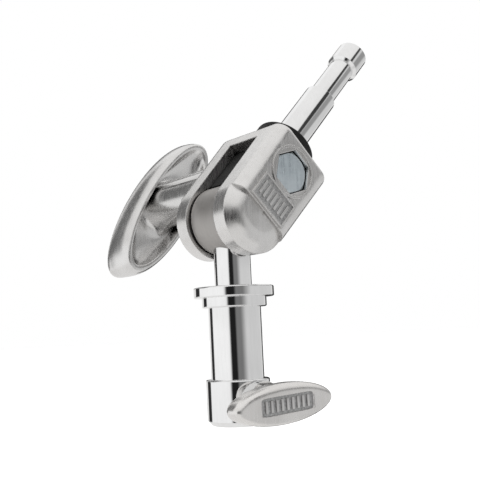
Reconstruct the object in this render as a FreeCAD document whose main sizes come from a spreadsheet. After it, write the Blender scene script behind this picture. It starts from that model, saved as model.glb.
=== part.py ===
import FreeCAD, Part
import os
import math
import Sketcher
from FreeCAD import Placement, Rotation, Vector

# Swivel head for lighting stands: a socket that locks on a 16 mm stud, a shaft with a round tongue,
# a forked clevis that tilts on the tongue, and a stepped 16 mm stud on top of the clevis.
# +Z runs up the shaft, the origin is the centre of the socket's mouth, and the fork tilts about Y.

os.makedirs("parts", exist_ok=True)
doc = FreeCAD.newDocument("swivel_head")

# ---------------------------------------------------------------- driving dimensions (mm, degrees)
DIMENSIONS = {
    # frame and rest pose
    "tilt_rest": 43.6, "handle_angle": 55.0, "lever_angle": 2.3, "pivot_height": 88.0,
    # receiver
    "socket_bore": 8.1, "socket_depth": 40.0, "tube_rad": 11.4, "collar_rad": 13.7, "collar_height": 19.0,
    "rim_round": 2.0, "flange_round": 0.6, "small_flange_rad": 14.0, "small_flange_low": 49.4,
    "big_flange_rad": 17.4, "big_flange_low": 53.7, "receiver_top": 58.2,
    # shaft, its screw and the tongue
    "shaft_rad": 8.0, "shaft_seat": 48.0, "tenon_rad": 6.0, "tenon_top": 81.5, "shaft_shoulder": 75.4,
    "screw_web": 3.0, "screw_head_clear": 0.4, "hex_key": 2.5,
    "shaft_screw_rad": 3.0, "shaft_screw_length": 13.0, "shaft_screw_head_rad": 5.0,
    "shaft_screw_head": 4.5, "disc_rad": 15.1, "disc_half": 8.6,
    "cross_pin_rad": 1.25, "cross_pin_height": 78.5,
    # pivot and friction washers
    "pivot_rad": 5.0, "pivot_gap": 0.05, "pivot_front": 15.5, "pivot_rear": 20.0,
    "clip_rad": 7.5, "clip_lap": 1.2, "clip_thick": 1.0, "pad_rad": 13.5, "pad_thick": 0.8,
    # clevis fork
    "slot_half": 9.6, "slot_roof": 33.0, "fork_top": 40.5, "fork_half": 23.0, "rim_half": 16.8,
    "fork_low_width": 17.1, "fork_high_width": 18.3, "fork_corner": 6.5, "dome_half": 22.1,
    "dome_flat_rad": 11.4, "dome_shoulder": 21.8, "dome_round": 8.0, "top_round": 2.5,
    "round_end_rad": 17.1, "over_cut": 2.0, "recess_flats": 17.8,
    "ring_rad": 12.0, "ring_width": 1.3, "ring_raise": 0.5,
    "plate_low": 0.7, "plate_high": 13.6, "plate_half": 10.6, "plate_raise": 1.0,
    "plate_edge": 1.0, "plate_floor": 0.6,
    # clamp bolt and what fills the slot
    "bolt_height": 25.3, "bolt_rad": 5.0, "bolt_hole_rad": 5.1, "bolt_head_flats": 17.0,
    "bolt_head": 6.4, "bolt_face_rad": 8.5, "bolt_seat": 15.2, "bolt_end": 59.8, "bolt_length": 82.0,
    "sleeve_rad": 7.0, "sleeve_half": 9.4, "insert_width": 13.0, "insert_clear": 0.6, "insert_gap": 0.3,
    # stud, its collar and its screw
    "stud_rad": 8.0, "stud_seat_rad": 8.2, "stud_seat_rise": 0.5, "stud_neck_rad": 6.4,
    "stud_step": 89.7, "stud_head_low": 113.7, "stud_top": 127.8, "stud_chamfer": 1.2,
    "ring_collar_rad": 15.0, "ring_collar_top": 51.3, "ring_chamfer": 1.0,
    "stud_screw_rad": 4.0, "stud_screw_head_rad": 7.6, "stud_screw_head": 3.6, "stud_screw_top": 60.0,
    "seat_gap": 0.05, "stud_key_depth": 2.0,
    # thrust washer and wing handle
    "thrust_gap": 0.05, "thrust_thick": 2.0, "thrust_rad": 11.5,
    "hub_start": 25.2, "hub_low_rad": 10.4, "hub_high_rad": 10.9, "hub_end": 78.0,
    "rib_top": 12.8, "rib_width": 5.2, "rib_start": 29.0, "rib_end": 77.0, "rib_angle": 25.0,
    "nut_rad": 8.0, "nut_length": 18.0, "hub_hole_rad": 5.3, "hub_hole_end": 66.0,
    "wing_rim": 71.5, "wing_long": 42.4, "wing_short": 14.0, "wing_dish": 7.0, "wing_wall": 2.8,
    # lock screw, pad and lever
    "lock_height": 9.8, "lock_boss_rad": 8.6, "lock_boss_end": 17.3, "lock_boss_wall": 1.6,
    "lock_boss_root": 2.0, "lock_screw_rad": 5.0, "lock_gap": 0.05,
    "lock_tip": 10.6, "lock_pad_tip": 8.3, "lock_pad_rad": 4.3, "lock_pad_gap": 0.1,
    "lock_stem_rad": 1.9, "lock_stem_length": 3.0, "lock_stem_clear": 0.2, "lock_screw_end": 27.1,
    "lever_long": 26.2, "lever_short": 8.2, "lever_front": 31.1, "lever_back": 23.1,
    "lever_hub_rad": 6.3, "lever_hub_end": 20.0,
    "panel_half_long": 14.0, "panel_half_short": 3.5, "panel_depth": 0.7,
    "lever_pin_rad": 1.25, "lever_pin_place": 21.8, "lever_pin_half": 6.1,
}
sheet = doc.addObject("Spreadsheet::Sheet", "dimensions")
for row, (alias, value) in enumerate(DIMENSIONS.items(), start=1):
    sheet.set("A%d" % row, alias)
    sheet.set("B%d" % row, str(value))
    sheet.setAlias("B%d" % row, alias)
doc.recompute()

SUB_PARTS = []
TOUCH = 0.01                                         # mm, for finding an edge by its place


def size(alias):
    """The sheet's value for one alias."""
    return float(sheet.get(alias))


def formula(text):
    """Write each alias in a formula as a reference to the sheet."""
    words = text.replace("(", " ( ").replace(")", " ) ").split()
    return " ".join("dimensions." + word if word in DIMENSIONS else word for word in words)


def bind(target, prop, text):
    target.setExpression(prop, formula(text))


def sub_part(item, label, placement):
    item.Label = label
    item.Placement = placement
    SUB_PARTS.append(item)
    return item


# ---------------------------------------------------------------- frames
ROOT_3 = "1.7320508"                                 # a hexagon's width across flats over its side
UPRIGHT = Placement()
PIVOT = Vector(0, 0, size("pivot_height"))
TILT = Rotation(Vector(0, 1, 0), size("tilt_rest"))
CLEVIS = Placement(PIVOT, TILT)                      # local Z is the stud's axis, local Y the pivot's
BOLT_CENTRE = CLEVIS.multVec(Vector(0, 0, size("bolt_height")))
WING = Placement(BOLT_CENTRE, Rotation(Vector(0, 1, 0), -size("handle_angle")))
LEVER = Placement(Vector(0, 0, size("lock_height")), Rotation(Vector(0, 1, 0), -size("lever_angle")))
ALONG_Y = Rotation(Vector(1, 0, 0), -90)             # turns a primitive's +Z to +Y
AGAINST_Y = Rotation(Vector(1, 0, 0), 90)            # turns a primitive's +Z to -Y


# ---------------------------------------------------------------- PartDesign helpers
def new_body(name):
    return doc.addObject("PartDesign::Body", name)


def origin_plane(body, role):
    return next(item for item in body.Origin.OriginFeatures if item.Role == role)


def new_sketch(body, name, role="XZ_Plane"):
    sketch = body.newObject("Sketcher::SketchObject", name)
    sketch.AttachmentSupport = (origin_plane(body, role), [""])
    sketch.MapMode = "FlatFace"
    return sketch


def outline(sketch, corners):
    """Closed polygon whose corners sit at sheet formulas (u, v) measured from the sketch's origin."""
    values = [(evaluate(u), evaluate(v)) for u, v in corners]
    count = len(values)
    for index, (u, v) in enumerate(values):
        nu, nv = values[(index + 1) % count]
        sketch.addGeometry(Part.LineSegment(Vector(u, v, 0), Vector(nu, nv, 0)), False)
    for index in range(count):
        sketch.addConstraint(Sketcher.Constraint("Coincident", index, 2, (index + 1) % count, 1))
    for index, (u_text, v_text) in enumerate(corners):
        place_point(sketch, index, 1, u_text, v_text, values[index])
    return sketch


def evaluate(text):
    words = text.replace("(", " ( ").replace(")", " ) ").split()
    total = " ".join(str(size(word)) if word in DIMENSIONS else word for word in words)
    return arithmetic(total)


def arithmetic(text):
    """Value of a sum of signed products; the formulas use no other form."""
    total, sign, product = 0.0, 1.0, None
    operation = "*"
    for word in text.split():
        if word == "+" or (word == "-" and product is not None):
            total += sign * product
            sign, product, operation = (1.0 if word == "+" else -1.0), None, "*"
        elif word == "-":
            sign = -sign
        elif word in "*/":
            operation = word
        else:
            number = float(word)
            if product is None:
                product = number
            elif operation == "*":
                product *= number
            else:
                product /= number
    return total + sign * product


def place_point(sketch, geometry, end, u_text, v_text, value):
    """Fix a sketch point at two formulas; a zero coordinate lies on the axis itself."""
    for axis, text, number in (("DistanceX", u_text, value[0]), ("DistanceY", v_text, value[1])):
        if abs(number) < 1e-9:
            line = -2 if axis == "DistanceX" else -1
            sketch.addConstraint(Sketcher.Constraint("PointOnObject", geometry, end, line))
            continue
        index = sketch.addConstraint(Sketcher.Constraint(axis, -1, 1, geometry, end, number))
        bind(sketch, "Constraints[%d]" % index, text)


def circle(sketch, u_text, v_text, radius_text):
    centre = (evaluate(u_text), evaluate(v_text))
    geometry = sketch.addGeometry(Part.Circle(Vector(*centre, 0), Vector(0, 0, 1), evaluate(radius_text)))
    place_point(sketch, geometry, 3, u_text, v_text, centre)
    index = sketch.addConstraint(Sketcher.Constraint("Radius", geometry, evaluate(radius_text)))
    bind(sketch, "Constraints[%d]" % index, radius_text)
    return sketch


def turned(name, corners, role="XZ_Plane"):
    """A piece turned on a lathe: one outline revolved about the sketch's upright axis."""
    body = new_body(name)
    sketch = outline(new_sketch(body, name + "_outline", role), corners)
    feature = body.newObject("PartDesign::Revolution", name + "_turned")
    feature.Profile = sketch
    feature.ReferenceAxis = (sketch, ["V_Axis"])
    feature.Angle = 360.0
    return body


def extrude(body, kind, name, sketch, length_text, reverse=False, midplane=False):
    feature = body.newObject("PartDesign::" + kind, name)
    feature.Profile = sketch
    bind(feature, "Length", length_text)
    feature.Reversed = reverse
    feature.Midplane = midplane
    return feature


# ---------------------------------------------------------------- Part helpers
def cylinder(name, radius_text, length_text, placement):
    item = doc.addObject("Part::Cylinder", name)
    bind(item, "Radius", radius_text)
    bind(item, "Height", length_text)
    item.Placement = placement
    return item


def along_y(start, x=0.0, z=0.0):
    """Placement of a primitive that starts at Y = start and runs towards +Y."""
    return Placement(Vector(x, start, z), ALONG_Y)


def against_y(start, x=0.0, z=0.0):
    return Placement(Vector(x, start, z), AGAINST_Y)


def cut(name, base, tool):
    item = doc.addObject("Part::Cut", name)
    item.Base = base
    item.Tool = tool
    return item


def join(name, pieces):
    item = doc.addObject("Part::MultiFuse", name)
    item.Shapes = pieces
    return item


# ---------------------------------------------------------------- receiver: socket, flanges, lock boss
def make_receiver():
    body = new_body("Receiver")
    corners = [
        ("socket_bore", "0"), ("collar_rad - rim_round", "0"), ("collar_rad", "rim_round"),
        ("collar_rad", "collar_height"), ("tube_rad", "collar_height"),
        ("tube_rad", "small_flange_low"), ("small_flange_rad", "small_flange_low"),
        ("small_flange_rad", "big_flange_low"), ("big_flange_rad", "big_flange_low"),
        ("big_flange_rad", "receiver_top"), ("shaft_rad", "receiver_top"),
        ("shaft_rad", "shaft_seat"), ("shaft_screw_rad", "shaft_seat"),
        ("shaft_screw_rad", "shaft_seat - screw_web"),
        ("shaft_screw_head_rad + screw_head_clear", "shaft_seat - screw_web"),
        ("shaft_screw_head_rad + screw_head_clear", "socket_depth"), ("socket_bore", "socket_depth"),
    ]
    sketch = outline(new_sketch(body, "receiver_outline"), corners)
    solid = body.newObject("PartDesign::Revolution", "receiver_turned")
    solid.Profile = sketch
    solid.ReferenceAxis = (sketch, ["V_Axis"])
    solid.Angle = 360.0
    doc.recompute()
    hole = circle(new_sketch(body, "boss_hole_outline"), "0", "lock_height", "lock_boss_rad - lock_boss_wall")
    drilled = extrude(body, "Pocket", "boss_hole", hole, "collar_rad + 1", reverse=True)
    doc.recompute()
    check_removed(drilled, "boss_hole")
    edges = edges_where(drilled.Shape, lambda e: is_ring(e, size("big_flange_rad"))
                        or is_ring(e, size("small_flange_rad"), size("small_flange_low"))
                        or is_ring(e, size("collar_rad"), size("collar_height")))
    soft = body.newObject("PartDesign::Fillet", "receiver_edges")
    soft.Base = (drilled, edges)
    bind(soft, "Radius", "flange_round")
    sub_part(body, "receiver_body", UPRIGHT)


def is_ring(edge, radius, height=None):
    curve = edge.Curve
    if not isinstance(curve, Part.Circle) or abs(curve.Radius - radius) > TOUCH:
        return False
    return height is None or abs(curve.Center.z - height) < TOUCH


def edges_where(shape, test):
    return ["Edge%d" % number for number, edge in enumerate(shape.Edges, start=1) if test(edge)]


def make_lock_boss():
    """Threaded bush brazed in the collar; its screw hole runs through to the socket."""
    root = size("lock_boss_root")
    height = size("lock_height")
    outer = cylinder("BossOuter", "lock_boss_rad", "lock_boss_end - lock_boss_root",
                     against_y(-root, z=height))
    core = cylinder("BossCore", "lock_boss_rad - lock_boss_wall", "lock_boss_end - 2 * lock_boss_root",
                    against_y(-2 * root, z=height))
    around = cylinder("BossAround", "collar_rad", "collar_height", UPRIGHT)
    inside = cylinder("BossSocket", "socket_bore", "collar_height + over_cut", UPRIGHT)
    cap = cut("BossCap", outer, around)
    stem = cut("BossStem", core, inside)
    solid = join("BossSolid", [cap, stem])
    hole = cylinder("BossHole", "lock_screw_rad + lock_gap", "lock_boss_end + over_cut",
                    against_y(0.0, z=height))
    sub_part(cut("BossDrilled", solid, hole), "lock_boss", UPRIGHT)


# ---------------------------------------------------------------- shaft, tongue and pivot
def make_shaft():
    blank = turned("Shaft", [
        ("0", "shaft_seat + shaft_screw_length - screw_web"), ("0", "tenon_top"),
        ("tenon_rad", "tenon_top"), ("tenon_rad", "shaft_shoulder"),
        ("shaft_rad", "shaft_shoulder"), ("shaft_rad", "shaft_seat"),
        ("shaft_screw_rad", "shaft_seat"),
        ("shaft_screw_rad", "shaft_seat + shaft_screw_length - screw_web"),
    ])
    pin = cylinder("ShaftPinHole", "cross_pin_rad", "2 * disc_half",
                   along_y(-size("disc_half"), z=size("cross_pin_height")))
    sub_part(cut("ShaftDrilled", blank, pin), "shaft", UPRIGHT)


def make_shaft_screw():
    seat = "shaft_seat - screw_web"
    head = seat + " - shaft_screw_head"
    screw = turned("ShaftScrew", [
        ("0", head + " + hex_key"), ("0", seat + " + shaft_screw_length"),
        ("shaft_screw_rad", seat + " + shaft_screw_length"), ("shaft_screw_rad", seat),
        ("shaft_screw_head_rad", seat), ("shaft_screw_head_rad", head),
        ("hex_key", head), ("hex_key", head + " + hex_key"),
    ])
    sub_part(screw, "shaft_screw", UPRIGHT)


def make_tongue():
    centre = along_y(-size("disc_half"), z=size("pivot_height"))
    pin_line = along_y(-size("disc_half"), z=size("cross_pin_height"))
    shaft_end = Placement(Vector(0, 0, size("shaft_seat")), Rotation())
    disc = cylinder("TongueBlank", "disc_rad", "2 * disc_half", centre)
    pivot_hole = cylinder("TonguePivotHole", "pivot_rad + pivot_gap", "2 * disc_half", centre)
    tenon_hole = cylinder("TongueTenonHole", "tenon_rad", "tenon_top - shaft_seat", shaft_end)
    spot_face = cylinder("TongueSpotFace", "shaft_rad", "shaft_shoulder - shaft_seat", shaft_end)
    pin_hole = cylinder("TonguePinHole", "cross_pin_rad", "2 * disc_half", pin_line)
    tools = join("TongueTools", [pivot_hole, tenon_hole, spot_face, pin_hole])
    sub_part(cut("Tongue", disc, tools), "tongue_disc", UPRIGHT)
    sub_part(cylinder("CrossPin", "cross_pin_rad", "2 * disc_half", pin_line), "tongue_cross_pin", pin_line)


def make_friction_pads():
    for name, low in (("front", -size("disc_half") - size("pad_thick")), ("rear", size("disc_half"))):
        ring = cylinder("Pad_" + name, "pad_rad", "pad_thick", along_y(low, z=size("pivot_height")))
        hole = cylinder("PadHole_" + name, "pivot_rad + pivot_gap", "pad_thick",
                        along_y(low, z=size("pivot_height")))
        sub_part(cut("PadRing_" + name, ring, hole), "friction_washer_" + name, UPRIGHT)


def make_pivot_pin():
    pin_start = along_y(-size("pivot_front"), z=size("pivot_height"))
    ring_start = along_y(size("pivot_rear"), z=size("pivot_height"))
    pin = cylinder("PivotPin", "pivot_rad", "pivot_front + pivot_rear", pin_start)
    sub_part(pin, "pivot_pin", pin_start)
    ring = cylinder("ClipOuter", "clip_rad", "clip_thick", ring_start)
    hole = cylinder("ClipHole", "pivot_rad - clip_lap", "clip_thick", ring_start)
    sub_part(cut("Clip", ring, hole), "pivot_cover_ring", UPRIGHT)


# ---------------------------------------------------------------- clevis fork
def rounded_section(body, name, half_width_text, height_text):
    """Rounded rectangle across the fork, in a plane square to the stud's axis."""
    sketch = new_sketch(body, name, "XY_Plane")
    bind(sketch, "AttachmentOffset.Base.z", height_text)
    w, d, r = evaluate(half_width_text), size("fork_half"), size("fork_corner")
    turns = ((w - r, d - r, 0), (-w + r, d - r, 90), (-w + r, -d + r, 180), (w - r, -d + r, 270))
    for u, v, start in turns:
        sweep = Part.Circle(Vector(u, v, 0), Vector(0, 0, 1), r)
        sketch.addGeometry(Part.ArcOfCircle(sweep, math.radians(start), math.radians(start + 90)), False)
    ends = (((w - r, d), (-w + r, d)), ((-w, d - r), (-w, -d + r)),
            ((-w + r, -d), (w - r, -d)), ((w, -d + r), (w, d - r)))
    for first, second in ends:
        sketch.addGeometry(Part.LineSegment(Vector(*first, 0), Vector(*second, 0)), False)
    for index in range(4):
        following = (index + 1) % 4
        sketch.addConstraint(Sketcher.Constraint("Tangent", index, 2, 4 + index, 1))
        sketch.addConstraint(Sketcher.Constraint("Tangent", 4 + index, 2, following, 1))
    for index in range(1, 4):
        sketch.addConstraint(Sketcher.Constraint("Equal", 0, index))
    sketch.addConstraint(Sketcher.Constraint("Symmetric", 4, 1, 4, 2, -2))
    sketch.addConstraint(Sketcher.Constraint("Symmetric", 5, 1, 5, 2, -1))
    sizes = (("Radius", 0, None, "fork_corner", r), ("DistanceX", 5, 1, "0 - " + half_width_text, -w),
             ("DistanceY", 4, 1, "fork_half", d))
    for kind, geometry, end, text, value in sizes:
        if end is None:
            made = Sketcher.Constraint(kind, geometry, value)
        else:
            made = Sketcher.Constraint(kind, -1, 1, geometry, end, value)
        index = sketch.addConstraint(made)
        bind(sketch, "Constraints[%d]" % index, text)
    return sketch


def make_fork():
    body = new_body("Fork")
    dome = outline(new_sketch(body, "round_end_outline", "XY_Plane"), [
        ("0", "0 - dome_half"), ("dome_flat_rad", "0 - dome_shoulder"), ("round_end_rad", "0 - rim_half"),
        ("round_end_rad", "rim_half"), ("dome_flat_rad", "dome_shoulder"), ("0", "dome_half"),
    ])
    end = body.newObject("PartDesign::Revolution", "round_end")
    end.Profile = dome
    end.ReferenceAxis = (dome, ["V_Axis"])
    end.Angle = 360.0
    doc.recompute()
    soften(body, "dome_edges", "dome_round",
           lambda box: abs(abs(box.YMin) - size("dome_shoulder")) < TOUCH and box.XLength > 1)

    low = rounded_section(body, "fork_low", "fork_low_width", "0")
    high = rounded_section(body, "fork_high", "fork_high_width", "fork_top")
    doc.recompute()
    barrel = body.newObject("PartDesign::AdditiveLoft", "fork_barrel")
    barrel.Profile = low
    barrel.Sections = [high]
    barrel.Ruled = True
    doc.recompute()

    plate = outline(new_sketch(body, "plate_outline"), [
        ("0 - plate_half", "plate_low"), ("plate_half", "plate_low"),
        ("plate_half", "plate_high"), ("0 - plate_half", "plate_high"),
    ])
    extrude(body, "Pad", "plate", plate, "fork_half + plate_raise")
    ring = circle(new_sketch(body, "ring_outline"), "0", "bolt_height", "ring_rad")
    extrude(body, "Pad", "ring", ring, "fork_half + ring_raise")
    doc.recompute()

    slot = outline(new_sketch(body, "slot_outline", "YZ_Plane"), [
        ("0 - slot_half", "0 - round_end_rad - over_cut"),
        ("slot_half", "0 - round_end_rad - over_cut"),
        ("slot_half", "slot_roof"), ("0 - slot_half", "slot_roof"),
    ])
    removed = extrude(body, "Pocket", "slot", slot, "4 * round_end_rad", midplane=True)
    doc.recompute()
    check_removed(removed, "slot")

    # Everything below is cut from planes that stand off the XZ plane, towards the face it opens on.
    bored(body, "bolt_hole", "0", "bolt_height", "bolt_hole_rad",
          "0 - fork_half - over_cut", "2 * fork_half + 2 * over_cut")
    hexagon = hexagon_sketch(body, "recess_outline", "recess_flats", "bolt_height", "bolt_seat")
    cut_front(body, "recess", hexagon, "fork_half")
    ring_floor = new_sketch(body, "ring_floor_outline")
    bind(ring_floor, "AttachmentOffset.Base.z", "fork_half")
    circle(ring_floor, "0", "bolt_height", "ring_rad - ring_width")
    cut_front(body, "ring_floor", ring_floor, "ring_raise + over_cut")
    panel = new_sketch(body, "plate_floor_outline")
    bind(panel, "AttachmentOffset.Base.z", "fork_half + plate_raise - plate_floor")
    outline(panel, [
        ("0 - plate_half + plate_edge", "plate_low + plate_edge"),
        ("plate_half - plate_edge", "plate_low + plate_edge"),
        ("plate_half - plate_edge", "plate_high - plate_edge"),
        ("0 - plate_half + plate_edge", "plate_high - plate_edge"),
    ])
    cut_front(body, "plate_floor", panel, "plate_floor + over_cut")
    bored(body, "pivot_hole", "0", "0", "pivot_rad", "0 - pivot_front", "pivot_front + fork_half")
    bored(body, "cover_recess", "0", "0", "clip_rad", "pivot_rear", "fork_half")

    top_hole = new_sketch(body, "top_hole_outline", "XY_Plane")
    bind(top_hole, "AttachmentOffset.Base.z", "slot_roof - over_cut")
    circle(top_hole, "0", "0", "stud_screw_rad")
    drilled = extrude(body, "Pocket", "top_hole", top_hole, "fork_top", reverse=True)
    doc.recompute()
    check_removed(drilled, "top_hole")
    seat = outline(new_sketch(body, "screw_seat_outline"), [
        ("0", "slot_roof"), ("stud_screw_head_rad", "slot_roof"),
        ("stud_screw_rad", "slot_roof + stud_screw_head"), ("0", "slot_roof + stud_screw_head"),
    ])
    sunk = body.newObject("PartDesign::Groove", "screw_seat")
    sunk.Profile = seat
    sunk.ReferenceAxis = (seat, ["V_Axis"])
    sunk.Angle = 360.0
    doc.recompute()
    check_removed(sunk, "screw_seat")

    soften(body, "top_edges", "top_round",
           lambda box: box.ZMin > size("fork_top") - TOUCH and box.DiagonalLength > 1
           and max(-box.XMin, box.XMax, -box.YMin, box.YMax) > size("stud_seat_rad"))
    sub_part(body, "clevis_fork", CLEVIS)


def cut_front(body, name, sketch, length_text):
    """Cut from the sketch's plane towards -Y, where the front face is."""
    feature = extrude(body, "Pocket", name, sketch, length_text, reverse=True)
    doc.recompute()
    check_removed(feature, name)


def bored(body, name, u_text, v_text, radius_text, start_text, length_text):
    """A round hole that runs along +Y from a stated start."""
    sketch = new_sketch(body, name + "_outline")
    bind(sketch, "AttachmentOffset.Base.z", "0 - ( " + start_text + " )")
    circle(sketch, u_text, v_text, radius_text)
    feature = extrude(body, "Pocket", name, sketch, length_text)
    doc.recompute()
    check_removed(feature, name)


def hexagon_sketch(body, name, flats_text, height_text, start_text):
    """Hexagon with two corners pointing across the fork."""
    sketch = new_sketch(body, name)
    bind(sketch, "AttachmentOffset.Base.z", start_text)
    reach = "%s / %s" % (flats_text, ROOT_3)
    side = "0.5 * %s / %s" % (flats_text, ROOT_3)
    half = "0.5 * %s" % flats_text
    outline(sketch, [
        (reach, height_text), (side, height_text + " + " + half),
        ("0 - " + side, height_text + " + " + half),
        ("0 - " + reach, height_text), ("0 - " + side, height_text + " - " + half),
        (side, height_text + " - " + half),
    ])
    return sketch


def check_removed(feature, name):
    """Stop if a cut took nothing away."""
    if feature.Shape.isNull() or feature.BaseFeature.Shape.Volume - feature.Shape.Volume < TOUCH:
        raise RuntimeError("%s removed nothing" % name)


def soften(body, name, radius, test):
    """Round every edge of the body's tip whose bounding box passes the test."""
    tip = body.Tip
    edges = ["Edge%d" % number for number, edge in enumerate(tip.Shape.Edges, start=1)
             if test(edge.BoundBox)]
    rounding = body.newObject("PartDesign::Fillet", name)
    rounding.Base = (tip, edges)
    bind(rounding, "Radius", radius)
    doc.recompute()
    return rounding


# ---------------------------------------------------------------- clamp bolt and what fills the slot
def make_clamp_bolt():
    body = new_body("ClampBolt")
    head = hexagon_sketch(body, "head_outline", "bolt_head_flats", "bolt_height", "bolt_seat")
    extrude(body, "Pad", "head", head, "bolt_head")
    shank_sketch = new_sketch(body, "shank_outline")
    bind(shank_sketch, "AttachmentOffset.Base.z", "bolt_seat")
    circle(shank_sketch, "0", "bolt_height", "bolt_rad")
    extrude(body, "Pad", "shank", shank_sketch, "bolt_seat + bolt_end", reverse=True)
    slope = doc.addObject("Part::Cone", "HeadChamfer")       # takes the head's corners off at 30 degrees
    bind(slope, "Radius1", "bolt_face_rad")
    bind(slope, "Radius2", "bolt_face_rad + %s * bolt_length" % ROOT_3)
    bind(slope, "Height", "bolt_length")
    slope.Placement = along_y(-size("bolt_seat") - size("bolt_head"), z=size("bolt_height"))
    chamfered = doc.addObject("Part::Common", "ChamferedBolt")
    chamfered.Base = body
    chamfered.Tool = slope
    doc.recompute()
    sub_part(chamfered, "clamp_bolt", CLEVIS)


def make_slot_fill():
    centre = along_y(-size("sleeve_half"), z=size("bolt_height"))
    tube = cut("SleeveRing", cylinder("SleeveOuter", "sleeve_rad", "2 * sleeve_half", centre),
               cylinder("SleeveHole", "bolt_hole_rad", "2 * sleeve_half", centre))
    sub_part(tube, "bolt_sleeve", CLEVIS)
    block = doc.addObject("Part::Box", "InsertBlock")
    bind(block, "Length", "2 * insert_width")
    bind(block, "Width", "2 * sleeve_half")
    bind(block, "Height", "slot_roof - insert_gap")
    block.Placement = Placement(Vector(-size("insert_width"), -size("sleeve_half"), 0), Rotation())
    below = cylinder("InsertRelief", "disc_rad + insert_clear", "2 * sleeve_half",
                     along_y(-size("sleeve_half")))
    hole = cylinder("InsertHole", "sleeve_rad", "2 * sleeve_half", centre)
    insert = cut("Insert", block, join("InsertTools", [below, hole]))
    sub_part(insert, "slot_insert", CLEVIS)


# ---------------------------------------------------------------- stud and its collar
def make_stud():
    stud = turned("Stud", [
        ("stud_screw_rad", "fork_top"), ("stud_seat_rad", "fork_top"),
        ("stud_seat_rad", "ring_collar_top + stud_seat_rise"),
        ("stud_rad", "ring_collar_top + stud_seat_rise"),
        ("stud_rad", "stud_step - stud_chamfer"), ("stud_rad - stud_chamfer", "stud_step"),
        ("stud_neck_rad", "stud_step"), ("stud_neck_rad", "stud_head_low"),
        ("stud_rad - stud_chamfer", "stud_head_low"), ("stud_rad", "stud_head_low + stud_chamfer"),
        ("stud_rad", "stud_top - stud_chamfer"), ("stud_rad - stud_chamfer", "stud_top"),
        ("0", "stud_top"), ("0", "stud_screw_top"), ("stud_screw_rad", "stud_screw_top"),
    ])
    collar = turned("StudCollar", [
        ("stud_seat_rad", "fork_top"), ("ring_collar_rad", "fork_top"),
        ("ring_collar_rad", "ring_collar_top - ring_chamfer"),
        ("ring_collar_rad - ring_chamfer", "ring_collar_top"), ("stud_seat_rad", "ring_collar_top"),
    ])
    screw = turned("StudScrew", [
        ("0", "slot_roof + stud_key_depth"), ("hex_key", "slot_roof + stud_key_depth"),
        ("hex_key", "slot_roof + seat_gap"), ("stud_screw_head_rad - seat_gap", "slot_roof + seat_gap"),
        ("stud_screw_rad", "slot_roof + stud_screw_head"), ("stud_screw_rad", "stud_screw_top"),
        ("0", "stud_screw_top"),
    ])
    sub_part(stud, "stud", CLEVIS)
    sub_part(collar, "stud_collar", CLEVIS)
    sub_part(screw, "stud_screw", CLEVIS)


# ---------------------------------------------------------------- clamp wing handle
def ellipse(name, long_text, short_text, place):
    item = doc.addObject("Part::Ellipse", name)
    bind(item, "MajorRadius", long_text)
    bind(item, "MinorRadius", short_text)
    item.Placement = place
    return item


def elliptic_loft(name, sections):
    """Smooth solid through ellipses that stand square to Y, each given as (Y, half length, half width)."""
    rings = []
    for number, (station, long_text, short_text) in enumerate(sections):
        place = Placement(Vector(0, station, 0), AGAINST_Y)
        rings.append(ellipse("%s_%d" % (name, number), long_text, short_text, place))
    item = doc.addObject("Part::Loft", name)
    item.Sections = rings
    item.Solid = True
    item.Ruled = False
    return item


def make_wing():
    rim = size("wing_rim")
    shell = elliptic_loft("WingBody", [
        (rim, "wing_long", "wing_short"),
        (rim + 4, "wing_long + 1.5", "wing_short + 2.1"),
        (rim + 10, "wing_long + 2.2", "wing_short + 2.8"),
        (rim + 16, "wing_long + 1.6", "wing_short + 2.4"),
        (rim + 20.5, "wing_long - 2.5", "wing_short + 0.4"),
        (rim + 23.7, "wing_long - 12", "wing_short - 3.8"),
        (rim + 25, "wing_long - 24", "wing_short - 8.2"),
    ])
    dish = elliptic_loft("WingDish", [
        (rim - 0.5, "wing_long - wing_wall", "wing_short - wing_wall + 0.4"),
        (rim + size("wing_dish") * 0.6, "wing_long - 2 * wing_wall", "wing_short - 2 * wing_wall + 1.2"),
        (rim + size("wing_dish"), "wing_long - 4 * wing_wall", "wing_short - 3 * wing_wall"),
    ])
    rib = doc.addObject("Part::Box", "WingRib")
    bind(rib, "Length", "rib_width")
    bind(rib, "Width", "rib_end - rib_start")
    bind(rib, "Height", "rib_top")
    swing = Rotation(Vector(0, 1, 0), size("rib_angle"))
    rib.Placement = Placement(swing.multVec(Vector(-size("rib_width") / 2, size("rib_start"), 0)), swing)
    hub = doc.addObject("Part::Cone", "WingHub")
    bind(hub, "Radius1", "hub_low_rad")
    bind(hub, "Radius2", "hub_high_rad")
    bind(hub, "Height", "hub_end - hub_start")
    hub.Placement = along_y(size("hub_start"))
    solid = join("WingSolid", [cut("WingShell", shell, dish), hub, rib])
    seat = cylinder("WingNutSeat", "nut_rad", "nut_length", along_y(size("hub_start")))
    deep = cylinder("WingBoltHole", "hub_hole_rad", "hub_hole_end - hub_start", along_y(size("hub_start")))
    sub_part(cut("Wing", solid, join("WingHoles", [seat, deep])), "clamp_handle", WING)
    ring = cut("NutRing", cylinder("NutOuter", "nut_rad", "nut_length", along_y(size("hub_start"))),
               cylinder("NutHole", "bolt_rad + lock_gap", "nut_length", along_y(size("hub_start"))))
    sub_part(ring, "clamp_handle_nut", WING)
    low = size("fork_half") + size("thrust_gap")
    washer = cut("ThrustRing", cylinder("ThrustOuter", "thrust_rad", "thrust_thick", along_y(low)),
                 cylinder("ThrustHole", "bolt_rad + lock_gap", "thrust_thick", along_y(low)))
    sub_part(washer, "thrust_washer", WING)


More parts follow.
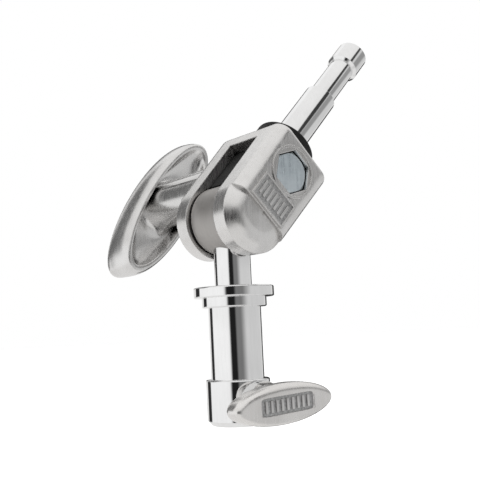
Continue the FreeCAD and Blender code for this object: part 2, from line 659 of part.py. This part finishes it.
# ---------------------------------------------------------------- lock screw and lever
def make_lock():
    pin_start = Placement(Vector(0, -size("lever_pin_place"), -size("lever_pin_half")), Rotation())
    stem_end = "0 - lock_tip - lock_stem_length - lock_stem_clear"
    screw = turned("LockScrew", [
        ("lock_stem_rad + lock_gap", "0 - lock_tip"), ("lock_screw_rad", "0 - lock_tip"),
        ("lock_screw_rad", "0 - lock_screw_end"), ("0", "0 - lock_screw_end"),
        ("0", stem_end), ("lock_stem_rad + lock_gap", stem_end),
    ], "XY_Plane")
    cross = cylinder("LockPinHole", "lever_pin_rad", "2 * lever_pin_half", pin_start)
    sub_part(cut("LockScrewDrilled", screw, cross), "lock_screw", LEVER)
    pin = cylinder("LockPin", "lever_pin_rad", "2 * lever_pin_half", UPRIGHT)
    sub_part(pin, "lock_lever_pin", LEVER.multiply(pin_start))

    pad = turned("LockPad", [
        ("0", "0 - lock_pad_tip"), ("lock_pad_rad", "0 - lock_pad_tip"),
        ("lock_pad_rad", "0 - lock_tip + lock_pad_gap"), ("lock_stem_rad", "0 - lock_tip + lock_pad_gap"),
        ("lock_stem_rad", "0 - lock_tip - lock_stem_length"), ("0", "0 - lock_tip - lock_stem_length"),
    ], "XY_Plane")
    sub_part(pad, "lock_pad", LEVER)

    back = size("lever_back")
    front = size("lever_front")
    plate = elliptic_loft("LeverPlate", [
        (-back, "lever_long - 1.2", "lever_short - 0.6"), (-back - 3, "lever_long", "lever_short"),
        (-front + 1, "lever_long", "lever_short"), (-front, "lever_long - 1", "lever_short - 1"),
    ])
    hub_start = against_y(-size("lever_hub_end"))
    hub = cylinder("LeverHub", "lever_hub_rad", "lever_back - lever_hub_end + 1", hub_start)
    panel = doc.addObject("Part::Box", "LeverPanel")
    bind(panel, "Length", "2 * panel_half_long")
    bind(panel, "Width", "panel_depth + over_cut")
    bind(panel, "Height", "2 * panel_half_short")
    corner = Vector(-size("panel_half_long"), -front - size("over_cut"), -size("panel_half_short"))
    panel.Placement = Placement(corner, Rotation())
    screw_hole = cylinder("LeverScrewHole", "lock_screw_rad", "lock_screw_end - lever_hub_end", hub_start)
    pin_hole = cylinder("LeverPinHole", "lever_pin_rad", "2 * lever_hub_rad",
                        Placement(Vector(0, -size("lever_pin_place"), -size("lever_hub_rad")), Rotation()))
    tools = join("LeverTools", [panel, screw_hole, pin_hole])
    sub_part(cut("Lever", join("LeverSolid", [plate, hub]), tools), "lock_lever", LEVER)


# ---------------------------------------------------------------- build, check and write
make_receiver()
make_lock_boss()
make_shaft()
make_shaft_screw()
make_tongue()
make_friction_pads()
make_pivot_pin()
make_fork()
make_clamp_bolt()
make_slot_fill()
make_stud()
make_wing()
make_lock()
doc.recompute()

for item in doc.Objects:
    if "Invalid" in item.State or "Error" in item.State:
        raise RuntimeError("%s did not compute: %s" % (item.Label, item.State))
for item in SUB_PARTS:
    if item.Shape.isNull() or not item.Shape.isValid():
        raise RuntimeError("%s has no valid shape" % item.Label)
for item in SUB_PARTS:
    item.Shape.exportStep("parts/%s.step" % item.Label)
    print("%-24s %9.1f mm3  solids %d" % (item.Label, item.Shape.Volume, len(item.Shape.Solids)))
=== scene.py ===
import math

import bmesh
import bpy
from mathutils import Matrix, Vector


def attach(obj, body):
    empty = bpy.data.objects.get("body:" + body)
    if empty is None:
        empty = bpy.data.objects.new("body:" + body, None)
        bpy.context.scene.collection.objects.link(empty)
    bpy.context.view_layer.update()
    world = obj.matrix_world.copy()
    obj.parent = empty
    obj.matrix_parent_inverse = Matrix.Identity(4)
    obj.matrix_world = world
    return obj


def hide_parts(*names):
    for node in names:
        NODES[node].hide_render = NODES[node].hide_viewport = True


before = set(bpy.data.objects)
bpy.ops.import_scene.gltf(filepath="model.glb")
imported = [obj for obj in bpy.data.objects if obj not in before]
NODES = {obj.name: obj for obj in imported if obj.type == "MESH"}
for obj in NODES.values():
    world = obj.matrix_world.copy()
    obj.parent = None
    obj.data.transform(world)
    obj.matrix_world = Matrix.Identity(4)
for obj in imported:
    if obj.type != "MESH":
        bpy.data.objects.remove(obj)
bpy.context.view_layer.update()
SCENE = bpy.context.scene
MM = 0.001

# Rest pose, in millimetres and degrees.
PIVOT_HEIGHT, BOLT_HEIGHT, LOCK_HEIGHT = 88.0, 25.3, 9.8
TILT_ANGLE, HANDLE_ANGLE, LEVER_ANGLE = 43.6, 55.0, 2.3

# The clevis frame: local Z runs along the stud, local Y along the pivot.
TILT = math.radians(TILT_ANGLE)
PIVOT = Vector((0.0, 0.0, PIVOT_HEIGHT)) * MM
CLEVIS = Matrix.Translation(PIVOT) @ Matrix.Rotation(TILT, 4, "Y")
# The handle's and the lever's frames: local X runs along the grip, local Y along the screw.
BOLT_CENTRE = CLEVIS @ Vector((0.0, 0.0, BOLT_HEIGHT * MM))
WING = Matrix.Translation(BOLT_CENTRE) @ Matrix.Rotation(-math.radians(HANDLE_ANGLE), 4, "Y")
LEVER_TURN = -math.radians(LEVER_ANGLE)
LEVER = Matrix.Translation(Vector((0.0, 0.0, LOCK_HEIGHT)) * MM) @ Matrix.Rotation(LEVER_TURN, 4, "Y")


# ---------------------------------------------------------------- camera
CAMERA_PLACE = Vector((-206.2, -253.2, 40.4)) * MM
YAW, PITCH, ROLL = (math.radians(angle) for angle in (-38.44, 7.08, -2.62))
LENS, SENSOR = 56.3, 36.0
SHIFT_X, SHIFT_Y = 0.038, -0.0094


def make_camera():
    """Camera at its place, looking along yaw and pitch, with its rolled horizon."""
    forward = Vector((-math.sin(YAW) * math.cos(PITCH), math.cos(YAW) * math.cos(PITCH),
                      math.sin(PITCH)))
    level = Vector((math.cos(YAW), math.sin(YAW), 0.0))
    upright = level.cross(forward)
    right = math.cos(ROLL) * level + math.sin(ROLL) * upright
    up = -math.sin(ROLL) * level + math.cos(ROLL) * upright
    data = bpy.data.cameras.new("camera")
    camera = bpy.data.objects.new("camera", data)
    SCENE.collection.objects.link(camera)
    turn = Matrix((right, up, -forward)).transposed().to_4x4()
    camera.matrix_world = Matrix.Translation(CAMERA_PLACE) @ turn
    data.lens = LENS
    data.sensor_width = SENSOR
    data.shift_x = SHIFT_X
    data.shift_y = SHIFT_Y
    data.clip_start = 0.01
    data.clip_end = 50.0
    SCENE.camera = camera


# ---------------------------------------------------------------- node helpers
class Tree:
    """Short calls for building a node tree."""

    def __init__(self, tree):
        self.tree = tree

    def add(self, kind, **settings):
        node = self.tree.nodes.new(kind)
        for name, value in settings.items():
            setattr(node, name, value)
        return node

    def link(self, source, target):
        self.tree.links.new(source, target)

    def feed(self, socket, value):
        if isinstance(value, bpy.types.NodeSocket):
            self.link(value, socket)
        else:
            socket.default_value = value

    def math(self, operation, first, second=0.0, clamp=False):
        node = self.add("ShaderNodeMath", operation=operation, use_clamp=clamp)
        self.feed(node.inputs[0], first)
        self.feed(node.inputs[1], second)
        return node.outputs[0]

    def blend(self, first, first_share, second, second_share):
        return self.math("ADD", self.math("MULTIPLY", first, first_share),
                         self.math("MULTIPLY", second, second_share))

    def span(self, value, low, high, to_low=0.0, to_high=1.0, smooth=True):
        node = self.add("ShaderNodeMapRange", clamp=True)
        node.interpolation_type = "SMOOTHSTEP" if smooth else "LINEAR"
        self.feed(node.inputs["Value"], value)
        self.feed(node.inputs["From Min"], low)
        self.feed(node.inputs["From Max"], high)
        self.feed(node.inputs["To Min"], to_low)
        self.feed(node.inputs["To Max"], to_high)
        return node.outputs["Result"]

    def mix(self, factor, first, second):
        node = self.add("ShaderNodeMix", data_type="RGBA")
        self.feed(node.inputs["Factor"], factor)
        self.feed(node.inputs[6], first)
        self.feed(node.inputs[7], second)
        return node.outputs[2]

    def noise(self, vector, scale, detail=3.0, roughness=0.5):
        node = self.add("ShaderNodeTexNoise")
        self.link(vector, node.inputs["Vector"])
        node.inputs["Scale"].default_value = scale
        node.inputs["Detail"].default_value = detail
        node.inputs["Roughness"].default_value = roughness
        return node.outputs["Fac"]

    def stretched(self, vector, scale, turn=(0.0, 0.0, 0.0)):
        node = self.add("ShaderNodeMapping")
        self.link(vector, node.inputs["Vector"])
        node.inputs["Scale"].default_value = scale
        node.inputs["Rotation"].default_value = turn
        return node.outputs["Vector"]

    def soft_edges(self, radius):
        """A normal that rounds off sharp corners by a radius in millimetres."""
        node = self.add("ShaderNodeBevel", samples=4)
        node.inputs["Radius"].default_value = radius * MM
        return node.outputs["Normal"]

    def bump(self, height, distance, strength=1.0, normal=None):
        node = self.add("ShaderNodeBump")
        node.inputs["Strength"].default_value = strength
        node.inputs["Distance"].default_value = distance
        self.link(height, node.inputs["Height"])
        if normal is not None:
            self.link(normal, node.inputs["Normal"])
        return node.outputs["Normal"]


def grey(value, warmth=0.0):
    """A grey; warmth moves it towards yellow."""
    return (value + warmth, value, value - warmth, 1.0)


def new_material(name):
    """A node material, its tree, its shader and the object coordinates it is painted in."""
    material = bpy.data.materials.new(name)
    material.use_nodes = True
    tree = Tree(material.node_tree)
    shader = material.node_tree.nodes["Principled BSDF"]
    place = tree.add("ShaderNodeTexCoord").outputs["Object"]
    return material, tree, shader, place


# ---------------------------------------------------------------- materials
# Noise scales, in cells a metre, and the depth of the finest surface marks in millimetres.
METAL_CLOUD, STIPPLE = 55.0, 1400.0
PLASTIC_CLOUD, PLASTIC_GRAIN = 90.0, 1800.0
BRUSHED_UPRIGHT, BRUSHED_ALONG_Y = (900.0, 900.0, 60.0), (60.0, 60.0, 900.0)
MARK_DEPTH, STIPPLE_DEPTH, PAINTED_SHADE_REACH = 0.0015, 0.25, 2.5
# Painted shade: the near-black colour painted into corners and hollows, within the reach in millimetres
# given above.
PAINTED_SHADE_COLOUR = grey(0.05, 0.004)
AS_CAST_DARK, AS_CAST_LIGHT, AS_CAST_ROUGHNESS = grey(0.38), grey(0.62), 0.5
NOISE_LOW, NOISE_HIGH = 0.3, 0.7                    # where nearly all of a noise's values lie


def rough_patch(tree, place, frame_place, turn, low, high):
    """1 inside a box given in millimetres in a turned frame, 0 outside it."""
    local = tree.add("ShaderNodeMapping", vector_type="TEXTURE")
    tree.link(place, local.inputs["Vector"])
    local.inputs["Location"].default_value = frame_place
    local.inputs["Rotation"].default_value = (0.0, turn, 0.0)
    parts = tree.add("ShaderNodeSeparateXYZ")
    tree.link(local.outputs["Vector"], parts.inputs["Vector"])
    mask = None
    for axis, near, far in zip("XYZ", low, high):
        inside = tree.math("MULTIPLY", tree.math("GREATER_THAN", parts.outputs[axis], near * MM),
                           tree.math("LESS_THAN", parts.outputs[axis], far * MM))
        mask = inside if mask is None else tree.math("MULTIPLY", mask, inside)
    return mask


def make_metal(name, dark, light, roughness, wave=0.0, wave_scale=120.0, grain=0.0,
               grain_scale=2500.0, edge=0.35, painted_shade=0.0, brushed=BRUSHED_UPRIGHT, patch=None):
    """A metal whose colour, roughness and surface vary: wave is the casting's slow ripple, grain its fine
    texture, edge the radius in millimetres by which its corners look rounded off, painted_shade how
    strongly shade is painted into its corners and hollows, and patch a sunk panel left as cast."""
    material, tree, shader, place = new_material(name)
    cloud = tree.noise(place, METAL_CLOUD, 4.0)
    fine = tree.noise(place, grain_scale, 3.0, 0.6)
    marks = tree.noise(tree.stretched(place, brushed), 1.0, 4.0, 0.65)
    tint = tree.span(tree.blend(cloud, 0.6, marks, 0.4), NOISE_LOW, NOISE_HIGH)
    colour = tree.mix(tint, dark, light)
    # Painted shade: ambient occlusion darkens the colour in corners and hollows, where shade falls.
    if painted_shade:
        shade = tree.add("ShaderNodeAmbientOcclusion", samples=4)
        shade.inputs["Distance"].default_value = PAINTED_SHADE_REACH * MM
        depth = tree.span(shade.outputs["AO"], 0.25, 0.9, painted_shade, 0.0)
        colour = tree.mix(depth, colour, PAINTED_SHADE_COLOUR)
    low, high = roughness
    gloss = tree.span(tree.blend(marks, 0.7, cloud, 0.3), NOISE_LOW, NOISE_HIGH, low, high)
    if patch:
        mask = rough_patch(tree, place, *patch)
        stipple = tree.noise(place, STIPPLE, 4.0, 0.7)
        as_cast = tree.mix(tree.span(stipple, 0.35, 0.65), AS_CAST_DARK, AS_CAST_LIGHT)
        colour = tree.mix(mask, colour, as_cast)
        gloss = tree.math("MAXIMUM", gloss, tree.math("MULTIPLY", mask, AS_CAST_ROUGHNESS))
    tree.link(colour, shader.inputs["Base Color"])
    tree.link(gloss, shader.inputs["Roughness"])
    shader.inputs["Metallic"].default_value = 1.0
    normal = tree.soft_edges(edge)
    if wave:
        normal = tree.bump(tree.noise(place, wave_scale, 2.0, 0.5), wave * MM, 1.0, normal)
    if grain:
        normal = tree.bump(fine, grain * MM, 1.0, normal)
    if patch:
        normal = tree.bump(tree.math("MULTIPLY", stipple, mask), STIPPLE_DEPTH * MM, 1.0, normal)
    normal = tree.bump(marks, MARK_DEPTH * MM, 1.0, normal)
    tree.link(normal, shader.inputs["Normal"])
    return material


def make_plastic(name, dark, light, roughness, grain=0.02, edge=0.4, shine=0.5):
    """A moulded plastic with a fine grain; shine is how strongly it reflects."""
    material, tree, shader, place = new_material(name)
    cloud = tree.noise(place, PLASTIC_CLOUD, 4.0)
    fine = tree.noise(place, PLASTIC_GRAIN, 2.0)
    tree.link(tree.mix(tree.span(cloud, NOISE_LOW, NOISE_HIGH), dark, light), shader.inputs["Base Color"])
    low, high = roughness
    tree.link(tree.span(fine, NOISE_LOW, NOISE_HIGH, low, high), shader.inputs["Roughness"])
    shader.inputs["Specular IOR Level"].default_value = shine
    tree.link(tree.bump(fine, grain * MM, 1.0, tree.soft_edges(edge)), shader.inputs["Normal"])
    return material


def make_floor_material():
    """Pale matt floor with a faint cloud, lifted a little so that it meets the backdrop without a line."""
    material, tree, shader, place = new_material("pale_floor")
    cloud = tree.noise(place, 1.2, 3.0)
    tree.link(tree.mix(cloud, grey(0.93), grey(0.96)), shader.inputs["Base Color"])
    tree.link(tree.span(cloud, NOISE_LOW, NOISE_HIGH, 0.75, 0.9), shader.inputs["Roughness"])
    shader.inputs["Emission Color"].default_value = grey(1.0)
    shader.inputs["Emission Strength"].default_value = 0.42
    return material


# The sunk panels' places: the frame, its turn about Y, and the two corners in millimetres.
FORK_PANEL = (PIVOT, TILT, (-9.7, -23.8, 1.6), (9.7, -23.1, 12.7))
LEVER_PANEL = (LEVER.translation, LEVER_TURN, (-14.2, -30.75, -3.6), (14.2, -30.2, 3.6))

CHROME = make_metal("chrome", grey(0.80), grey(0.88), (0.03, 0.07), edge=0.4)
CAST = make_metal("cast_aluminium", grey(0.66, 0.010), grey(0.80, 0.008), (0.20, 0.34), wave=0.22,
                  wave_scale=90.0, grain=0.012, grain_scale=1500.0, edge=0.6, painted_shade=0.7, patch=FORK_PANEL)
LEVER_CAST = make_metal("lever_casting", grey(0.68, 0.016), grey(0.82, 0.014), (0.18, 0.32), wave=0.2,
                        wave_scale=90.0, grain=0.010, grain_scale=1500.0, edge=0.4, painted_shade=0.5,
                        patch=LEVER_PANEL)
RAISED_CAST = make_metal("raised_casting", grey(0.58, 0.006), grey(0.76, 0.006), (0.28, 0.42), grain=0.02,
                         grain_scale=1500.0, edge=0.2, painted_shade=0.5)
WING_CAST = make_metal("polished_casting", grey(0.64, 0.008), grey(0.78, 0.006), (0.18, 0.32), wave=0.26,
                       wave_scale=60.0, grain=0.012, grain_scale=1300.0, edge=0.5, painted_shade=0.6)
SATIN = make_metal("satin_steel", grey(0.38, 0.014), grey(0.50, 0.016), (0.42, 0.58), grain=0.015,
                   grain_scale=2600.0, edge=0.3)
ZINC = make_metal("zinc_plate", (0.60, 0.68, 0.73, 1.0), (0.74, 0.81, 0.85, 1.0), (0.22, 0.46), wave=0.16,
                  wave_scale=420.0, grain=0.02, grain_scale=1500.0, edge=0.35)
STEEL = make_metal("machined_steel", grey(0.44), grey(0.60), (0.22, 0.38), grain=0.006,
                   grain_scale=2200.0, edge=0.25, brushed=BRUSHED_ALONG_Y)
BRASS = make_metal("turned_brass", (0.55, 0.42, 0.18, 1.0), (0.72, 0.58, 0.30, 1.0), (0.2, 0.35))
NYLON = make_plastic("black_nylon", grey(0.005), grey(0.011), (0.5, 0.68), shine=0.2)
FRICTION = make_plastic("fibre_friction", (0.05, 0.04, 0.035, 1.0), (0.11, 0.09, 0.07, 1.0), (0.75, 0.95),
                        grain=0.05)

FINISHES = {
    "receiver_body": CHROME, "lock_boss": CHROME, "shaft": CHROME, "stud": CHROME,
    "clevis_fork": CAST, "clamp_handle": WING_CAST, "lock_lever": LEVER_CAST,
    "tongue_disc": SATIN, "clamp_bolt": ZINC,
    "shaft_screw": STEEL, "tongue_cross_pin": STEEL, "pivot_pin": STEEL, "pivot_cover_ring": STEEL,
    "stud_screw": STEEL, "thrust_washer": STEEL, "clamp_handle_nut": STEEL, "lock_screw": STEEL,
    "lock_lever_pin": STEEL, "lock_pad": BRASS,
    "stud_collar": NYLON, "slot_insert": NYLON, "bolt_sleeve": NYLON,
    "friction_washer_front": FRICTION, "friction_washer_rear": FRICTION,
}


def paint_nodes():
    """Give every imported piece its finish."""
    for name, node in NODES.items():
        node.data.materials.clear()
        node.data.materials.append(FINISHES[name])


# ---------------------------------------------------------------- detailed pieces
SEGMENTS = 128
RIB_ANGLE, RIB_HALF = 25.0, 2.6                     # the handle's rib on its hub
PANEL_RIB_BEVEL = 0.22                              # on the upright ribs in both sunk panels


def ring(shape, y, half_long, half_short, shift=0.0, power=2.0):
    """Superellipse of vertices square to Y, in millimetres; a higher power makes it squarer."""
    made = []
    for step in range(SEGMENTS):
        angle = 2.0 * math.pi * step / SEGMENTS
        across, along = math.cos(angle), math.sin(angle)
        x = shift + half_long * math.copysign(abs(across) ** (2.0 / power), across)
        z = half_short * math.copysign(abs(along) ** (2.0 / power), along)
        made.append(shape.verts.new(Vector((x, y, z)) * MM))
    return made


def catmull_rom(p, q, r, s, t):
    """Value at t between q and r on the cubic curve through p, q, r and s."""
    return 0.5 * (2 * q + (r - p) * t + (2 * p - 5 * q + 4 * r - s) * t ** 2
                  + (3 * q - p - 3 * r + s) * t ** 3)


def smooth_rows(rows, steps=4):
    """Extra rows between the given ones, on a curve through them."""
    made = []
    for index in range(len(rows) - 1):
        before, start = rows[max(index - 1, 0)], rows[index]
        end, after = rows[index + 1], rows[min(index + 2, len(rows) - 1)]
        for step in range(steps):
            t = step / steps
            made.append(tuple(catmull_rom(*values, t) for values in zip(before, start, end, after)))
    return made + [rows[-1]]


def skin(shape, rings):
    """Quads between neighbouring rings, and a face over each end."""
    for low, high in zip(rings, rings[1:]):
        for step in range(SEGMENTS):
            following = (step + 1) % SEGMENTS
            shape.faces.new((low[step], low[following], high[following], high[step]))
    shape.faces.new(reversed(rings[0]))
    shape.faces.new(rings[-1])


def bar(shape, low, high, bevel, turn=None):
    """Box between two corners in millimetres, with its edges rounded."""
    corners = bmesh.ops.create_cube(shape, size=1.0)["verts"]
    low, high = Vector(low), Vector(high)
    for vertex in corners:
        vertex.co = Vector(((low + high) / 2)[k] + vertex.co[k] * (high - low)[k] for k in range(3)) * MM
        if turn is not None:
            vertex.co = turn @ vertex.co
    edges = {edge for vertex in corners for edge in vertex.link_edges}
    bmesh.ops.bevel(shape, geom=list(edges), offset=bevel * MM, segments=3, profile=0.5, affect="EDGES")


def finish_piece(name, shape, place, body, material, sharp=40.0):
    """Make the object, smooth-shaded up to the sharp angle, put it in its frame and tie it to its body."""
    bmesh.ops.recalc_face_normals(shape, faces=shape.faces)
    mesh = bpy.data.meshes.new(name)
    shape.to_mesh(mesh)
    shape.free()
    mesh.transform(place)
    for polygon in mesh.polygons:
        polygon.use_smooth = True
    mesh.set_sharp_from_angle(angle=math.radians(sharp))
    mesh.materials.append(material)
    piece = bpy.data.objects.new(name, mesh)
    SCENE.collection.objects.link(piece)
    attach(piece, body)
    return piece


def make_wing():
    """Cast handle: a boat-shaped grip with a dished face, and a hub with a rib that runs to the clevis."""
    # Each row: Y, half length, half width, and the shift of the oval's centre along X.
    hull = [
        (96.35, 3.0, 1.0, -5.0), (96.2, 17.0, 4.2, -5.0), (95.7, 26.5, 7.4, -5.0),
        (94.5, 34.4, 10.4, -4.2), (92.5, 39.2, 12.9, -3.0), (89.8, 42.3, 14.9, -1.4),
        (86.4, 43.6, 16.1, 0.0), (81.5, 43.9, 16.7, 0.5), (76.5, 43.4, 16.2, 0.6),
        (73.4, 42.6, 15.2, 0.6), (72.0, 41.9, 14.4, 0.6), (71.55, 41.3, 13.9, 0.6),
    ]
    land = [(71.5, 40.7, 13.4, 0.6), (71.5, 39.6, 12.6, 0.6), (71.7, 39.0, 12.2, 0.6)]
    dish = [
        (72.6, 38.1, 11.9, 0.6), (74.6, 35.7, 11.7, 0.6), (76.6, 31.4, 11.6, 0.6),
        (78.0, 26.0, 11.5, 0.6), (78.6, 20.2, 11.5, 0.5), (78.3, 16.2, 11.45, 0.3),
        (77.0, 13.5, 11.4, 0.1), (74.6, 12.0, 11.3, 0.0), (70.5, 11.2, 11.0, 0.0),
    ]
    hub = [(y, radius, radius, 0.0) for y, radius in (
        (60.0, 10.8), (40.0, 10.55), (26.2, 10.4), (25.4, 10.1), (25.2, 9.6))]
    bore = [(25.2, 5.3, 5.3, 0.0), (40.0, 5.3, 5.3, 0.0)]
    shape = bmesh.new()
    rows = smooth_rows(hull) + land + smooth_rows(dish + hub) + bore
    skin(shape, [ring(shape, *row) for row in rows])
    rib_turn = Matrix.Rotation(math.radians(RIB_ANGLE), 3, "Y")
    bar(shape, (-RIB_HALF, 29.0, 6.0), (RIB_HALF, 76.5, 12.7), 0.7, rib_turn)
    piece = finish_piece("wing_grip", shape, WING, "clamp_handle", WING_CAST)
    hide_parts("clamp_handle")


def make_panel_ribs(name, place, body, count, pitch, half_width, low, high):
    """A row of plain upright ribs, centred; low and high are its corners' Y and Z."""
    shape = bmesh.new()
    for step in range(count):
        middle = (step - (count - 1) / 2) * pitch
        bar(shape, (middle - half_width, *low), (middle + half_width, *high), PANEL_RIB_BEVEL)
    return finish_piece(name, shape, place, body, RAISED_CAST)


def make_lever():
    """Oval cast lever with rounded rims and a sunk panel with ribs, on a short hub."""
    # Each row: Y, half length, half width, shift, and for the panel how square the oval is.
    back = [
        (-20.0, 5.4, 5.4, 0.0), (-20.3, 6.2, 6.2, 0.0), (-21.6, 6.3, 6.3, 0.0), (-22.6, 6.7, 6.5, 0.0),
        (-23.05, 8.6, 6.9, 0.0), (-23.15, 14.0, 7.1, 0.0), (-23.2, 22.4, 7.3, 0.0),
        (-23.7, 25.3, 7.8, 0.0), (-24.8, 26.1, 8.15, 0.0), (-27.9, 26.15, 8.15, 0.0),
        (-29.3, 25.8, 7.8, 0.0), (-30.3, 25.0, 7.0, 0.0), (-30.9, 23.8, 6.0, 0.0),
        (-31.08, 22.6, 5.2, 0.0),
    ]
    panel = [
        (-31.1, 16.0, 4.4, 0.0, 4.0), (-31.1, 14.15, 3.6, 0.0, 9.0),
        (-30.95, 14.0, 3.5, 0.0, 9.0), (-30.4, 13.85, 3.4, 0.0, 9.0),
    ]
    shape = bmesh.new()
    skin(shape, [ring(shape, *row) for row in smooth_rows(back) + panel])
    piece = finish_piece("lever_grip", shape, LEVER, "lock_lever", LEVER_CAST, 50.0)
    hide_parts("lock_lever")
    make_panel_ribs("lever_panel_ribs", LEVER, "lock_lever", 9, 2.8, 0.7, (-30.85, -2.4), (-30.3, 2.4))


def make_fork_ribs():
    """Ribs on the floor of the fork's front plate."""
    make_panel_ribs("fork_plate_ribs", CLEVIS, "clevis", 7, 2.5, 0.62, (-23.86, 3.7), (-23.3, 10.7))


# ---------------------------------------------------------------- studio
# Cards around the object, by direction in degrees: azimuth 0 looks back at the camera's side and grows
# to its right. Each card: azimuth centre, half width, soft edge; brightness; elevation centre, half
# height, soft edge.
CARDS = (
    (-70.0, 42.0, 10.0, 1.00, 0.0, 16.0, 10.0),      # bright wall on the left, in the tubes' white band
    (84.0, 46.0, 14.0, 0.68, -12.0, 36.0, 12.0),     # dimmer wall on the right
    (84.0, 40.0, 12.0, 0.33, 14.0, 5.0, 5.0),        # grey strip that the fork's front face reflects
    (8.0, 14.0, 30.0, 0.20, -2.0, 12.0, 12.0),       # grey fade beside the tubes' dark band
    (-11.0, 9.0, 9.0, 0.015, -1.0, 9.0, 6.0),        # the tubes' dark band
    (70.0, 6.0, 4.0, 0.05, 31.0, 6.0, 4.0),          # the leaning stud's dark band
    (-117.0, 19.0, 8.0, 0.17, 31.0, 18.0, 8.0),      # grey on the handle's outer side
    (-128.0, 10.0, 5.0, 0.03, 0.0, 9.0, 3.0),        # thin dark line at the tubes' left edges
    (-168.0, 10.0, 5.0, 0.05, 20.0, 13.0, 5.0),      # thin dark line at the stud's left edge
    (162.0, 15.0, 5.0, 0.05, -5.0, 24.0, 8.0),       # dark right edges
    (-156.0, 9.0, 6.0, 1.00, 52.0, 11.0, 6.0),       # bright patch that the fork's side reflects
)


def make_world():
    """White studio with the cards; the camera itself sees plain white."""
    world = bpy.data.worlds.new("studio")
    SCENE.world = world
    world.use_nodes = True
    tree = Tree(world.node_tree)
    world.node_tree.nodes.clear()
    direction = tree.add("ShaderNodeTexCoord").outputs["Generated"]
    turned = tree.add("ShaderNodeVectorRotate", rotation_type="Z_AXIS")
    tree.link(direction, turned.inputs["Vector"])
    turned.inputs["Angle"].default_value = -YAW
    parts = tree.add("ShaderNodeSeparateXYZ")
    tree.link(turned.outputs["Vector"], parts.inputs["Vector"])
    x, y, z = (parts.outputs[axis] for axis in "XYZ")
    degrees = 180.0 / math.pi
    azimuth = tree.math("MULTIPLY", tree.math("ARCTAN2", x, tree.math("MULTIPLY", y, -1.0)), degrees)
    elevation = tree.math("MULTIPLY", tree.math("ARCSINE", z), degrees)

    def within(value, centre, half, soft):
        away = tree.math("ABSOLUTE", tree.math("SUBTRACT", value, centre))
        return tree.span(away, half, half + soft, 1.0, 0.0)

    light = tree.mix(tree.span(elevation, 20.0, 70.0), grey(0.86, 0.006), grey(0.93, 0.004))
    for centre, half, soft, level, *height in CARDS:
        mask = tree.math("MULTIPLY", within(azimuth, centre, half, soft), within(elevation, *height))
        light = tree.mix(mask, light, grey(level))
    seen = tree.add("ShaderNodeLightPath").outputs["Is Camera Ray"]
    shown = tree.mix(seen, light, grey(1.0))
    background = tree.add("ShaderNodeBackground")
    tree.link(shown, background.inputs["Color"])
    background.inputs["Strength"].default_value = 1.0
    output = tree.add("ShaderNodeOutputWorld")
    tree.link(background.outputs["Background"], output.inputs["Surface"])


FLOOR_RADIUS, FLOOR_HEIGHT = 12.0, -0.14            # metres; the object is held above the floor


def make_floor():
    shape = bmesh.new()
    bmesh.ops.create_circle(shape, cap_ends=True, radius=FLOOR_RADIUS, segments=64)
    mesh = bpy.data.meshes.new("floor")
    shape.to_mesh(mesh)
    shape.free()
    floor = bpy.data.objects.new("floor", mesh)
    floor.location = (0.0, 0.0, FLOOR_HEIGHT)
    mesh.materials.append(make_floor_material())
    SCENE.collection.objects.link(floor)
    floor.visible_glossy = False


def make_light(name, place, target, size, power):
    """Soft area light, in metres and watts, that is not seen in the metal."""
    data = bpy.data.lights.new(name, "AREA")
    data.shape = "RECTANGLE"
    data.size, data.size_y = size
    data.energy = power
    light = bpy.data.objects.new(name, data)
    light.location = place
    light.rotation_euler = (Vector(target) - Vector(place)).to_track_quat("-Z", "Y").to_euler()
    light.visible_glossy = False
    SCENE.collection.objects.link(light)


def make_lights():
    middle = (0.0, 0.0, 0.09)
    make_light("overhead", (0.1, -0.1, 1.4), middle, (1.4, 1.4), 7.0)
    make_light("left_softbox", (-1.3, 0.1, 0.5), middle, (0.9, 1.4), 3.5)


make_camera()
make_world()
make_floor()
make_lights()
paint_nodes()
make_wing()
make_lever()
make_fork_ribs()
SCENE.view_settings.view_transform = "Standard"
